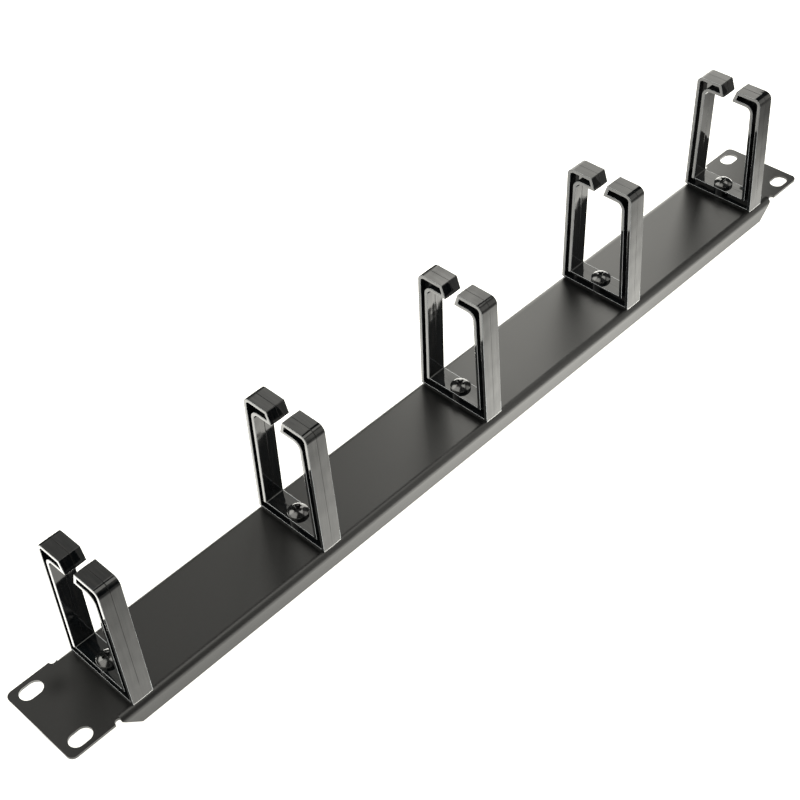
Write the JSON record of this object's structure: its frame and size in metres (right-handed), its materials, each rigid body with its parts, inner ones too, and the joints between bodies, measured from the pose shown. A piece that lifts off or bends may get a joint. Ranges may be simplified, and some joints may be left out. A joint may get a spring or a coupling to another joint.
{
  "type": "rack cable management panel",
  "caption": "Folded steel panel for a server rack, with a row of open-topped plastic rings that hold patch cables in front of the rack.",
  "frame": {"origin": "middle of the panel, level with the edges of its two folded flanges, which it rests on", "axes": "+X along the panel across the rack, +Y up the rack, +Z out of the rack's front, towards the rings' open tops"},
  "size_m": [0.4826, 0.0434, 0.0766],
  "materials": {
    "panel_coat": "fine matt black powder coat",
    "ring_plastic": "glossy black moulded plastic",
    "screw_black": "glossy black finish on steel",
    "nut_black": "satin black finish on steel"
  },
  "bodies": {
    "root": {"panel": "panel_coat", "ring_1": "ring_plastic", "screw_1": "screw_black", "lock_washer_1": "nut_black", "nut_1": "nut_black", "ring_2": "ring_plastic", "screw_2": "screw_black", "lock_washer_2": "nut_black", "nut_2": "nut_black", "ring_3": "ring_plastic", "screw_3": "screw_black", "lock_washer_3": "nut_black", "nut_3": "nut_black", "ring_4": "ring_plastic", "screw_4": "screw_black", "lock_washer_4": "nut_black", "nut_4": "nut_black", "ring_5": "ring_plastic", "screw_5": "screw_black", "lock_washer_5": "nut_black", "nut_5": "nut_black"}
  },
  "joints": []
}
